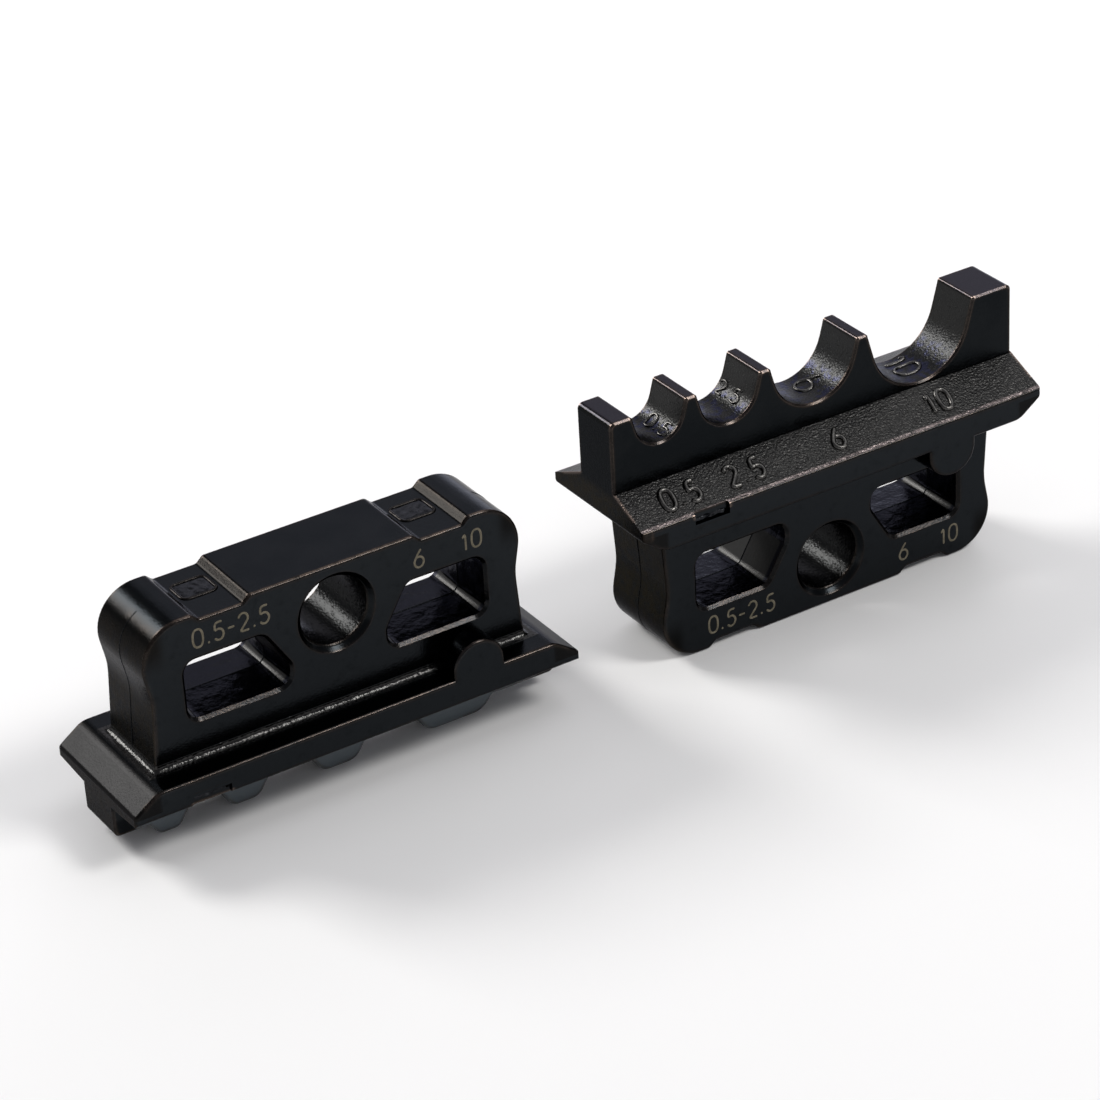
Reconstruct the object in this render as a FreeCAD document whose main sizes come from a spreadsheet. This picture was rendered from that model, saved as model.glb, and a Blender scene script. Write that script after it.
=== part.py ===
import FreeCAD, Part
import math
import os
import Sketcher

# Crimping die pair for bare cable lugs: a lower die whose comb holds four round nests, and an
# upper die whose comb carries the four lobes that enter them. Each die is one sintered steel piece.
# Lengths are millimetres and angles are degrees. Heights are counted from the flat back of a die,
# the face that beds in the tool's jaw: upward in the lower die, downward in the upper one.

# Driving dimensions: alias, value, what it measures
DIMENSIONS = [
    ("flange_length", 36.0, "length of the flange and of the comb"),
    ("flange_width", 11.8, "width of the flange"),
    ("flange_face", 11.15, "height of the flange face on the block side"),
    ("flange_edge", 13.2, "height of the flange edge on the comb side"),
    ("bevel_run", 1.95, "length of the bevel at each flange end"),
    ("bevel_rise", 1.35, "height of the bevel at each flange end"),
    ("bevel_blend", 1.6, "radius where the bevel leaves the flange face"),
    ("flange_tip_round", 0.4, "radius of the flange ends below the bevel"),
    ("flange_round", 0.25, "radius round both long faces of the flange and round the tab"),
    ("block_width", 7.0, "thickness of the block"),
    ("block_round", 0.25, "radius round both faces of the block"),
    ("block_foot_reach", 15.0, "half length of the block where it meets the flange"),
    ("waist_reach", 14.58, "half length of the block at its waist"),
    ("waist_height", 5.75, "height of the waist"),
    ("waist_radius", 6.0, "hollow radius of the waist"),
    ("horn_corner_reach", 15.72, "half length at which the end line would meet the back face"),
    ("horn_radius", 3.2, "outer radius of a horn"),
    ("plateau_reach", 6.5, "half length of the middle seat on the back face"),
    ("relief_depth", 0.5, "depth of the relief beside the middle seat"),
    ("relief_run", 0.55, "length of the slope at each end of the relief"),
    ("relief_reach", 5.27, "length from the corner of the end line to the far end of the relief floor"),
    ("crest_round", 0.4, "radius of the crests beside the reliefs"),
    ("foot_radius", 0.45, "hollow radius where the block meets the flange"),
    ("bore_radius", 2.65, "radius of the bore for the retaining screw"),
    ("bore_height", 3.8, "height of the bore axis"),
    ("bore_chamfer", 0.45, "chamfer at both mouths of the bore"),
    ("window_near", 3.5, "height of the window edge next to the back face"),
    ("window_far", 8.2, "height of the window edge next to the flange"),
    ("window_end_reach", 12.0, "half length to the far end of a window"),
    ("window_bore_reach", 3.9, "half length to the bore side of a window"),
    ("window_cut_reach", 5.65, "half length to the cut corner of a window"),
    ("window_cut_height", 6.65, "height where the cut corner ends"),
    ("window_radius", 1.0, "corner radius of a window"),
    ("window_cut_radius", 0.7, "corner radius beside the cut corner"),
    ("window_draft", 4.5, "draft of the window walls from the parting line"),
    ("window_chamfer", 0.2, "chamfer round both mouths of a window"),
    ("tab_offset", 9.7, "distance of the locating tab from the bore axis"),
    ("tab_radius", 2.1, "radius of the locating tab"),
    ("tab_rise", 0.45, "height of the tab's round centre off the flange face"),
    ("gate_place", -12.0, "middle of the gate recess, from the bore axis"),
    ("gate_length", 3.0, "length of the gate recess in the front edge of the flange"),
    ("gate_depth", 0.3, "depth of the gate recess"),
    ("gate_sole", 12.45, "height where the gate recess begins"),
    ("comb_width", 4.4, "thickness of the comb"),
    ("comb_chamfer", 0.13, "chamfer round both faces of the comb"),
    ("end_round", 0.45, "radius at the outer ends of the comb"),
    ("ledge_foot", 14.85, "height of the lower ledge where it meets the comb"),
    ("tip_height", 20.5, "height of the teeth of the lower die"),
    ("tip_round", 0.22, "radius of the tooth tips"),
    ("nest_flare", 16.0, "lean of the nest walls"),
    ("end_tooth_share", 34.32, "part of the two end teeth together that the first one gets, in percent"),
    ("nest_1_place", -13.8, "first nest, along the row of nests"),
    ("nest_2_place", -7.75, "second nest, along the row of nests"),
    ("nest_3_place", -0.15, "third nest, along the row of nests"),
    ("nest_4_place", 9.55, "fourth nest, along the row of nests"),
    ("nest_1_radius", 2.05, "radius of the first nest"),
    ("nest_2_radius", 2.5, "radius of the second nest"),
    ("nest_3_radius", 3.65, "radius of the third nest"),
    ("nest_4_radius", 4.4, "radius of the fourth nest"),
    ("nest_1_floor", 2.75, "depth of the first nest's floor below the tooth tips"),
    ("nest_2_floor", 3.2, "depth of the second nest's floor below the tooth tips"),
    ("nest_3_floor", 4.05, "depth of the third nest's floor below the tooth tips"),
    ("nest_4_floor", 5.45, "depth of the fourth nest's floor below the tooth tips"),
    ("apron_foot", 13.5, "height of the upper die's flange where it meets the comb"),
    ("apron_radius", 0.5, "hollow radius where that flange meets the comb"),
    ("shoulder_height", 16.0, "height of the stop shoulders of the upper die"),
    ("valley_height", 15.7, "height of the valleys between the lobes"),
    ("valley_radius", 0.5, "hollow radius at the root of a lobe"),
    ("lobe_height", 17.05, "height of the four lobes"),
    ("lobe_lean", 33.0, "lean of the lobe flanks"),
    ("lobe_1_reach", 1.47, "half width of the first lobe at the shoulders"),
    ("lobe_2_reach", 1.75, "half width of the second lobe at the shoulders"),
    ("lobe_3_reach", 2.05, "half width of the third lobe at the shoulders"),
    ("lobe_4_reach", 3.05, "half width of the fourth lobe at the shoulders"),
    ("lobe_1_radius", 0.75, "corner radius of the first lobe"),
    ("lobe_2_radius", 1.0, "corner radius of the second lobe"),
    ("lobe_3_radius", 1.2, "corner radius of the third lobe"),
    ("lobe_4_radius", 1.55, "corner radius of the fourth lobe"),
    ("die_spacing", 40.8, "distance between the two bore axes along the dies"),
    ("die_stagger", 1.7, "distance of the upper die behind the lower one"),
]
NESTS = (1, 2, 3, 4)
OVERLAP = 0.6
NEAR = 0.001


class Term:
    """A number together with the sheet formula that gives it."""

    def __init__(self, value, text):
        self.value = float(value)
        self.text = text

    @staticmethod
    def of(other):
        return other if isinstance(other, Term) else Term(other, repr(float(other)))

    def joined(self, other, sign, value):
        return Term(value, "(" + self.text + " " + sign + " " + Term.of(other).text + ")")

    def __add__(self, other):
        return self.joined(other, "+", self.value + Term.of(other).value)

    def __sub__(self, other):
        return self.joined(other, "-", self.value - Term.of(other).value)

    def __mul__(self, other):
        return self.joined(other, "*", self.value * Term.of(other).value)

    def __truediv__(self, other):
        return self.joined(other, "/", self.value / Term.of(other).value)

    def __neg__(self):
        return Term(-self.value, "(0 - " + self.text + ")")


def sine(angle):
    return Term(math.sin(math.radians(angle.value)), "sin(" + angle.text + " * 1 deg)")


def cosine(angle):
    return Term(math.cos(math.radians(angle.value)), "cos(" + angle.text + " * 1 deg)")


def tangent(angle):
    return sine(angle) / cosine(angle)


doc = FreeCAD.newDocument("crimping_dies")
sheet = doc.addObject("Spreadsheet::Sheet", "dims")
size = {}
for row, (alias, value, meaning) in enumerate(DIMENSIONS, start=1):
    sheet.set("A%d" % row, meaning)
    sheet.set("B%d" % row, str(value))
    sheet.setAlias("B%d" % row, alias)
    size[alias] = Term(value, "dims." + alias)
doc.recompute()


def unit(start, end):
    length = math.hypot(end[0] - start[0], end[1] - start[1])
    return ((end[0] - start[0]) / length, (end[1] - start[1]) / length)


def rounded_corner(before, corner, after, radius):
    """Ends, centre and angles of the arc that rounds a corner."""
    back = unit(corner, before)
    ahead = unit(corner, after)
    half = 0.5 * math.acos(back[0] * ahead[0] + back[1] * ahead[1])
    setback = radius / math.tan(half)
    first = (corner[0] + back[0] * setback, corner[1] + back[1] * setback)
    last = (corner[0] + ahead[0] * setback, corner[1] + ahead[1] * setback)
    middle = unit((0.0, 0.0), (back[0] + ahead[0], back[1] + ahead[1]))
    reach = radius / math.sin(half)
    centre = (corner[0] + middle[0] * reach, corner[1] + middle[1] * reach)
    return first, last, centre


def vector(point):
    return FreeCAD.Vector(point[0], point[1], 0.0)


class Outline:
    """A closed sketch through corners bound to the sheet, each sharp or rounded."""

    def __init__(self, body, name, plane):
        self.sketch = body.newObject("Sketcher::SketchObject", name)
        for feature in body.Origin.OriginFeatures:
            if feature.Role == plane:
                self.sketch.AttachmentSupport = [(feature, "")]
        self.sketch.MapMode = "FlatFace"

    def bind(self, constraint, term):
        index = self.sketch.addConstraint(constraint)
        self.sketch.setExpression("Constraints[%d]" % index, term.text)

    def place(self, geometry, end, corner):
        across, height = corner[0], corner[1]
        self.bind(Sketcher.Constraint("DistanceX", -1, 1, geometry, end, across.value), across)
        self.bind(Sketcher.Constraint("DistanceY", -1, 1, geometry, end, height.value), height)

    def draw(self, corners):
        """Add the loop: corners are (across, height, radius or None) Terms, in order."""
        sketch = self.sketch
        spots = [(corner[0].value, corner[1].value) for corner in corners]
        count = len(corners)
        rounds = {}
        for i, corner in enumerate(corners):
            if corner[2] is not None:
                neighbours = (spots[i - 1], spots[i], spots[(i + 1) % count])
                rounds[i] = rounded_corner(*neighbours, corner[2].value)
        lines = []
        for i in range(count):
            ahead = (i + 1) % count
            start = rounds[i][1] if i in rounds else spots[i]
            end = rounds[ahead][0] if ahead in rounds else spots[ahead]
            lines.append(sketch.addGeometry(Part.LineSegment(vector(start), vector(end)), False))
        for i, corner in enumerate(corners):
            before, after = lines[i - 1], lines[i]
            if i not in rounds:
                sketch.addConstraint(Sketcher.Constraint("Coincident", before, 2, after, 1))
                self.place(after, 1, corner)
                continue
            first, last, centre = rounds[i]
            starts = math.atan2(first[1] - centre[1], first[0] - centre[0])
            ends = math.atan2(last[1] - centre[1], last[0] - centre[0])
            turn = math.remainder(ends - starts, 2.0 * math.pi)
            circle = Part.Circle(vector(centre), FreeCAD.Vector(0, 0, 1), corner[2].value)
            low, high = (starts, starts + turn) if turn > 0 else (ends, ends - turn)
            arc = sketch.addGeometry(Part.ArcOfCircle(circle, low, high), False)
            near, far = (1, 2) if turn > 0 else (2, 1)
            sketch.addConstraint(Sketcher.Constraint("Tangent", before, 2, arc, near))
            sketch.addConstraint(Sketcher.Constraint("Tangent", arc, far, after, 1))
            self.bind(Sketcher.Constraint("Radius", arc, corner[2].value), corner[2])
            mark = sketch.addGeometry(Part.Point(vector(spots[i])), True)
            self.place(mark, 1, corner)
            sketch.addConstraint(Sketcher.Constraint("PointOnObject", mark, 1, before))
            sketch.addConstraint(Sketcher.Constraint("PointOnObject", mark, 1, after))
        return self


class Die:
    """One die as a body; rise is +1 when the comb points up and -1 when it points down."""

    def __init__(self, name, rise):
        self.rise = rise
        self.name = name
        self.body = doc.addObject("PartDesign::Body", name)
        self.body.Label = name

    def up(self, term):
        return term if self.rise > 0 else -term

    def profile(self, name, corners, plane="XZ_Plane"):
        drawn = [(corner[0], self.up(corner[1]), corner[2]) for corner in corners]
        return Outline(self.body, self.name + "_" + name, plane).draw(drawn).sketch

    def pad(self, name, sketch, width):
        pad = self.body.newObject("PartDesign::Pad", self.name + "_" + name)
        pad.Profile = sketch
        pad.SideType = "Symmetric"
        pad.setExpression("Length", width.text)

    def edges(self, chosen):
        doc.recompute()
        shape = self.body.Shape
        return ["Edge%d" % (i + 1) for i, edge in enumerate(shape.Edges) if chosen(edge)]

    def round_edges(self, name, radius, chosen):
        """Round the edges of the body that the test picks."""
        self.dress("PartDesign::Fillet", name, "Radius", radius, chosen)

    def chamfer_edges(self, name, length, chosen):
        """Chamfer the edges of the body that the test picks."""
        self.dress("PartDesign::Chamfer", name, "Size", length, chosen)

    def dress(self, kind, name, measure, term, chosen):
        base, picked = self.body.Tip, self.edges(chosen)
        feature = self.body.newObject(kind, self.name + "_" + name)
        feature.Base = (base, picked)
        feature.setExpression(measure, term.text)


def in_face(half_width, crown=None, sole=None):
    """A test for edges that lie in one of the two faces at half_width from the middle plane."""
    half = half_width.value

    def chosen(edge):
        box = edge.BoundBox
        flat = abs(abs(box.YMin) - half) < NEAR and abs(box.YMax - box.YMin) < NEAR
        near, far = sorted((abs(box.ZMin), abs(box.ZMax)))
        return flat and (crown is None or near < crown) and (sole is None or far > sole)

    return chosen


def mirrored(half):
    """Close a half outline, given from the middle outward, with its mirror image."""
    return half + [(-corner[0], corner[1], corner[2]) for corner in reversed(half)]


def add_block(die):
    """The block that fits the jaw: horns, reliefs and waisted ends."""
    top = size["flange_face"] + OVERLAP
    outline = die.profile("block_outline", mirrored([
        (size["plateau_reach"], Term.of(0), size["crest_round"]),
        (size["plateau_reach"] + size["relief_run"], size["relief_depth"], size["crest_round"]),
        (size["horn_corner_reach"] - size["relief_reach"], size["relief_depth"], size["crest_round"]),
        (size["horn_corner_reach"] - size["relief_reach"] + size["relief_run"], Term.of(0), size["crest_round"]),
        (size["horn_corner_reach"], Term.of(0), size["horn_radius"]),
        (size["waist_reach"], size["waist_height"], size["waist_radius"]),
        (size["block_foot_reach"], top, None),
    ]))
    die.pad("block", outline, size["block_width"])
    die.round_edges("block_edges", size["block_round"], in_face(size["block_width"] / 2, top.value - NEAR))


def nest_depth(number):
    """Depth of the nest's axis below the tooth tips."""
    return size["nest_%d_floor" % number] - size["nest_%d_radius" % number]


def nest_reach(number):
    """Half width of a nest at the tooth tips, out to its leaning walls."""
    lean = size["nest_flare"]
    return size["nest_%d_radius" % number] / cosine(lean) + nest_depth(number) * tangent(lean)


def nest_place(number):
    """Distance of a nest from the bore axis; the end teeth share what the row of nests leaves."""
    first, last = NESTS[0], NESTS[-1]
    row = size["nest_%d_place" % last] - size["nest_%d_place" % first]
    spare = size["flange_length"] - row - nest_reach(first) - nest_reach(last)
    start = nest_reach(first) + spare * size["end_tooth_share"] / 100 - size["flange_length"] / 2
    return start + size["nest_%d_place" % number] - size["nest_%d_place" % first]


def comb_base():
    """The corners of the comb that are sunk in the flange, above its end bevels."""
    level = size["flange_face"] + OVERLAP / 2
    ends = size["flange_face"] + size["bevel_rise"] + OVERLAP / 2
    half, inner = size["flange_length"] / 2, size["block_foot_reach"] - OVERLAP * 2
    return [(half, ends, None), (inner, level, None), (-inner, level, None)]


def comb_faces():
    """A test for the edges of the comb above its base."""
    return in_face(size["comb_width"] / 2, None, comb_base()[0][1].value + NEAR)


def add_lower_comb(die):
    """Five teeth with the four nests between them."""
    half = size["flange_length"] / 2
    tip = size["tip_height"]
    sunk = comb_base()
    corners = [(-half, sunk[0][1], None), (-half, tip, size["end_round"])]
    for number in NESTS:
        place, radius, reach = nest_place(number), size["nest_%d_radius" % number], nest_reach(number)
        apex = tip - reach / tangent(size["nest_flare"])
        corners += [(place - reach, tip, size["tip_round"]), (place, apex, radius),
                    (place + reach, tip, size["tip_round"])]
    corners += [(half, tip, size["end_round"])] + sunk
    die.pad("comb", die.profile("comb_outline", corners), size["comb_width"])
    die.chamfer_edges("comb_edges", size["comb_chamfer"], comb_faces())


def add_upper_comb(die):
    """Two stop shoulders and the four lobes that enter the nests."""
    half = size["flange_length"] / 2
    sunk = comb_base()
    shoulder, valley = size["shoulder_height"], size["valley_height"]
    corners = [(-half, sunk[0][1], None), (-half, shoulder, size["end_round"])]
    for number in NESTS:
        place, radius = nest_place(number), size["lobe_%d_radius" % number]
        reach, crown = size["lobe_%d_reach" % number], size["lobe_height"]
        lean = tangent(size["lobe_lean"])
        tip = reach - (crown - shoulder) * lean
        left = shoulder if number == NESTS[0] else valley
        right = shoulder if number == NESTS[-1] else valley
        corners += [(place - tip - (crown - left) * lean, left, size["valley_radius"]),
                    (place - tip, crown, radius), (place + tip, crown, radius),
                    (place + tip + (crown - right) * lean, right, size["valley_radius"])]
    corners += [(half, shoulder, size["end_round"])] + sunk
    die.pad("comb", die.profile("comb_outline", corners), size["comb_width"])
    die.chamfer_edges("comb_edges", size["comb_chamfer"], comb_faces())


def add_flange(die, top):
    """The flange plate, bevelled at both ends on the block side."""
    half = size["flange_length"] / 2
    outline = die.profile("flange_outline", mirrored([
        (half - size["bevel_run"], size["flange_face"], size["bevel_blend"]),
        (half, size["flange_face"] + size["bevel_rise"], size["flange_tip_round"]),
        (half, top, None),
    ]))
    die.pad("flange", outline, size["flange_width"])


def cut_ledges(die, foot):
    """Slope both ledges from the foot of the comb down to the flange edge."""
    inner = size["comb_width"] / 2
    outer = size["flange_width"] / 2
    spare = outer + OVERLAP
    slope = (foot - size["flange_edge"]) / (outer - inner)
    drop = size["flange_edge"] - slope * Term.of(OVERLAP)
    for side in (1, -1):
        name = "rear" if side > 0 else "front"
        corners = [(inner, foot), (spare, drop), (spare, foot + OVERLAP), (inner, foot + OVERLAP)]
        placed = [(across if side > 0 else -across, height, None) for across, height in corners]
        sketch = die.profile(name + "_ledge_outline", placed, "YZ_Plane")
        cut = die.body.newObject("PartDesign::Pocket", die.name + "_" + name + "_ledge")
        cut.Profile = sketch
        cut.SideType = "Symmetric"
        cut.setExpression("Length", (size["flange_length"] + OVERLAP).text)


def round_root(die, foot):
    """Hollow fillet where the comb stands on the upper die's flange."""
    half, level = size["comb_width"].value / 2, foot.value

    def at_the_root(edge):
        box = edge.BoundBox
        beside = abs(abs(box.YMin) - half) < NEAR and abs(box.YMax - box.YMin) < NEAR
        return beside and abs(abs(box.ZMin) - level) < NEAR and abs(box.ZMax - box.ZMin) < NEAR

    die.round_edges("root", size["apron_radius"], at_the_root)


def round_flange(die):
    """Round the edges of both long faces of the flange, with the free edge of the tab."""
    die.round_edges("flange_edges", size["flange_round"], in_face(size["flange_width"] / 2))


def round_foot(die):
    """Hollow fillet where the block stands on the flange."""
    face = size["flange_face"].value
    reach = size["block_foot_reach"].value + 0.05
    half = size["block_width"].value / 2.0 + 0.05

    def at_the_foot(edge):
        box = edge.BoundBox
        level = abs(abs(box.ZMin) - face) < NEAR and abs(box.ZMax - box.ZMin) < NEAR
        return level and max(abs(box.YMin), abs(box.YMax)) < half and box.XMax < reach and box.XMin > -reach

    die.round_edges("foot", size["foot_radius"], at_the_foot)


def add_tab(die):
    """The half round locating tab on the front ledge, flush with the flange edge."""
    base = size["flange_face"] + OVERLAP
    centre = size["flange_face"] - size["tab_rise"]
    crown = centre - size["tab_radius"]
    left, right = size["tab_offset"] - size["tab_radius"], size["tab_offset"] + size["tab_radius"]
    nearly = size["tab_radius"] * 0.999
    sketch = die.profile("tab_outline", [
        (left, base, None), (left, crown, nearly), (right, crown, nearly), (right, base, None)])
    inset = size["block_width"] / 2 - OVERLAP
    sketch.setExpression("AttachmentOffset.Base.z", inset.text)
    pad = die.body.newObject("PartDesign::Pad", die.name + "_tab")
    pad.Profile = sketch
    pad.setExpression("Length", (size["flange_width"] / 2 - inset).text)


def cut_gate(die, foot):
    """The shallow recess in the front edge of the flange where the mould's gate was."""
    reach = size["gate_length"] / 2
    left, right = size["gate_place"] - reach, size["gate_place"] + reach
    sole, top = size["gate_sole"], foot + OVERLAP
    sketch = die.profile("gate_outline", [
        (left, sole, None), (right, sole, None), (right, top, None), (left, top, None)])
    sketch.setExpression("AttachmentOffset.Base.z", (size["flange_width"] / 2 - size["gate_depth"]).text)
    cut = die.body.newObject("PartDesign::Pocket", die.name + "_gate")
    cut.Profile = sketch
    cut.Reversed = True
    cut.setExpression("Length", (size["gate_depth"] + OVERLAP).text)


def cut_windows(die):
    """Two windows, drafted from the parting line in the middle out to both faces."""
    near, far = size["window_near"], size["window_far"]
    wide, narrow = size["window_radius"], size["window_cut_radius"]
    lean = size["window_draft"]
    inset = size["block_width"] / 2 * tangent(lean)
    for side in (1, -1):
        hand = "right" if side > 0 else "left"
        corners = [
            (size["window_cut_reach"] + inset, near + inset, narrow),
            (size["window_bore_reach"] + inset, size["window_cut_height"], narrow),
            (size["window_bore_reach"] + inset, far - inset, wide - inset),
            (size["window_end_reach"] - inset, far - inset, wide - inset),
            (size["window_end_reach"] - inset, near + inset, wide - inset),
        ]
        placed = [(across if side > 0 else -across, height, turn) for across, height, turn in corners]
        sketch = die.profile(hand + "_window_outline", placed)
        for way in (False, True):
            end = "front" if way else "rear"
            cut = die.body.newObject("PartDesign::Pocket", "_".join((die.name, hand, "window", end)))
            cut.Profile = sketch
            cut.Reversed = way
            cut.setExpression("Length", (size["block_width"] / 2).text)
            cut.setExpression("TaperAngle", lean.text)
    half = size["block_width"].value / 2
    inner, outer = size["window_bore_reach"].value - NEAR, size["window_end_reach"].value + NEAR
    low, high = near.value - NEAR, far.value + NEAR

    def at_a_mouth(edge):
        box = edge.BoundBox
        flat = abs(abs(box.YMin) - half) < NEAR and abs(box.YMax - box.YMin) < NEAR
        heights, reaches = sorted((abs(box.ZMin), abs(box.ZMax))), sorted((abs(box.XMin), abs(box.XMax)))
        return flat and low < heights[0] and heights[1] < high and inner < reaches[0] and reaches[1] < outer

    die.chamfer_edges("window_mouths", size["window_chamfer"], at_a_mouth)


def cut_bore(die):
    """The through bore with a chamfer at each mouth."""
    half, radius, chamfer = size["block_width"] / 2, size["bore_radius"], size["bore_chamfer"]
    outside, mouth = half + OVERLAP, radius + chamfer + OVERLAP
    middle = Term.of(0)
    outline = Outline(die.body, die.name + "_bore_outline", "YZ_Plane").draw([
        (-outside, middle, None), (outside, middle, None), (outside, mouth, None),
        (half - chamfer, radius, None), (-(half - chamfer), radius, None), (-outside, mouth, None)])
    outline.sketch.setExpression("AttachmentOffset.Base.y", die.up(size["bore_height"]).text)
    groove = die.body.newObject("PartDesign::Groove", die.name + "_bore")
    groove.Profile = outline.sketch
    groove.ReferenceAxis = (outline.sketch, ["H_Axis"])
    groove.Angle = 360.0


def build_die(name, rise, add_comb, foot):
    """Build one die in its own axes, with its back face at height zero."""
    die = Die(name, rise)
    add_block(die)
    add_comb(die)
    add_flange(die, foot)
    cut_ledges(die, foot)
    if foot is size["apron_foot"]:
        round_root(die, foot)
    cut_windows(die)
    round_foot(die)
    add_tab(die)
    round_flange(die)
    cut_gate(die, foot)
    cut_bore(die)
    return die


lower = build_die("lower_die", 1, add_lower_comb, size["ledge_foot"])
upper = build_die("upper_die", -1, add_upper_comb, size["apron_foot"])
lower.body.setExpression("Placement.Base.x", (size["die_spacing"] / 2).text)
lower.body.setExpression("Placement.Base.y", (-size["die_stagger"] / 2).text)
upper.body.setExpression("Placement.Base.x", (-size["die_spacing"] / 2).text)
upper.body.setExpression("Placement.Base.y", (size["die_stagger"] / 2).text)
upper.body.setExpression("Placement.Base.z", size["lobe_height"].text)
doc.recompute()

for thing in doc.Objects:
    if "Invalid" in thing.State or "Error" in thing.State:
        raise RuntimeError("%s failed: %s" % (thing.Name, thing.getStatusString()))
os.makedirs("parts", exist_ok=True)
for die in (lower, upper):
    shape = die.body.Shape
    if shape.isNull() or not shape.isValid() or len(shape.Solids) != 1:
        raise RuntimeError("%s has no sound solid" % die.name)
    print(die.name, round(shape.Volume, 3), shape.BoundBox)
    shape.exportStep("parts/" + die.name + ".step")
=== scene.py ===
"""Looks of a pair of crimping dies: finishes, raised marks, light and camera."""

import logging
import math
from dataclasses import dataclass, field
from enum import Enum
from typing import Callable, Optional, Sequence, Union

import bmesh
import bpy
import numpy as np
from mathutils import Matrix, Vector


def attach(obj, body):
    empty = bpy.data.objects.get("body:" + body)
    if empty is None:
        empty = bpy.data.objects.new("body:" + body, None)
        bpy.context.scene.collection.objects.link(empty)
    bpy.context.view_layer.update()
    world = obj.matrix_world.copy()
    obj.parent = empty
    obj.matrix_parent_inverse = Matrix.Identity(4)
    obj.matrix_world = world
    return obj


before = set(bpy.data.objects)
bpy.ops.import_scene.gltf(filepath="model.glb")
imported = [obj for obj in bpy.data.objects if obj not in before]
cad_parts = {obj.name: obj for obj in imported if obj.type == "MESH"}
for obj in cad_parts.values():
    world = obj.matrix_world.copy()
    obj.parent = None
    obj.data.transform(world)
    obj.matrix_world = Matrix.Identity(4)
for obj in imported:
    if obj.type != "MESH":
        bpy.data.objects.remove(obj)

MM = 0.001
LOG = logging.getLogger("crimping_dies")
Number = Union[float, "Wire"]
Colour = tuple[float, float, float]
Span = tuple[float, float]


class Wire:
    """A shader socket that takes part in arithmetic and adds the Math nodes by itself."""

    def __init__(self, graph: "Graph", socket: bpy.types.NodeSocket) -> None:
        """Wrap an output socket of a graph."""
        self.graph = graph
        self.socket = socket

    def math(self, operation: str, *values: Number, clamp: bool = False) -> "Wire":
        """Add one Math node.

        Args:
            operation: the node's operation.
            values: its inputs in order.
            clamp: whether the result is held between 0 and 1.

        Returns:
            The node's value.
        """
        sockets = dict(enumerate(values))
        node = self.graph.add("ShaderNodeMath", {"operation": operation, "use_clamp": clamp}, sockets)
        return Wire(self.graph, node.outputs[0])

    def __add__(self, other: Number) -> "Wire":
        """Sum."""
        return self.math("ADD", self, other)

    def __radd__(self, other: Number) -> "Wire":
        """Sum with a number on the left."""
        return self.math("ADD", other, self)

    def __sub__(self, other: Number) -> "Wire":
        """Difference."""
        return self.math("SUBTRACT", self, other)

    def __rsub__(self, other: Number) -> "Wire":
        """Difference with a number on the left."""
        return self.math("SUBTRACT", other, self)

    def __mul__(self, other: Number) -> "Wire":
        """Product."""
        return self.math("MULTIPLY", self, other)

    def __rmul__(self, other: Number) -> "Wire":
        """Product with a number on the left."""
        return self.math("MULTIPLY", other, self)

    def __abs__(self) -> "Wire":
        """Absolute value."""
        return self.math("ABSOLUTE", self)

    def root(self) -> "Wire":
        """Square root."""
        return self.math("SQRT", self)

    def larger(self, other: Number) -> "Wire":
        """The larger of two values."""
        return self.math("MAXIMUM", self, other)

    def smaller(self, other: Number) -> "Wire":
        """The smaller of two values."""
        return self.math("MINIMUM", self, other)

    def ramp(self, low: float, high: float) -> "Wire":
        """A smooth step from 0 at low to 1 at high; low above high turns it round.

        Args:
            low: the value that gives 0.
            high: the value that gives 1.

        Returns:
            The step.
        """
        if low > high:
            return 1.0 - self.ramp(high, low)
        settings = {"interpolation_type": "SMOOTHSTEP", "clamp": True}
        sockets = {"Value": self, "From Min": low, "From Max": high}
        node = self.graph.add("ShaderNodeMapRange", settings, sockets)
        return Wire(self.graph, node.outputs[0])

    def band(self, low: float, high: float, soft: float) -> "Wire":
        """1 between low and high, 0 outside, with edges of width soft."""
        return self.ramp(low - soft, low + soft) * self.ramp(high + soft, high - soft)


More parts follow.
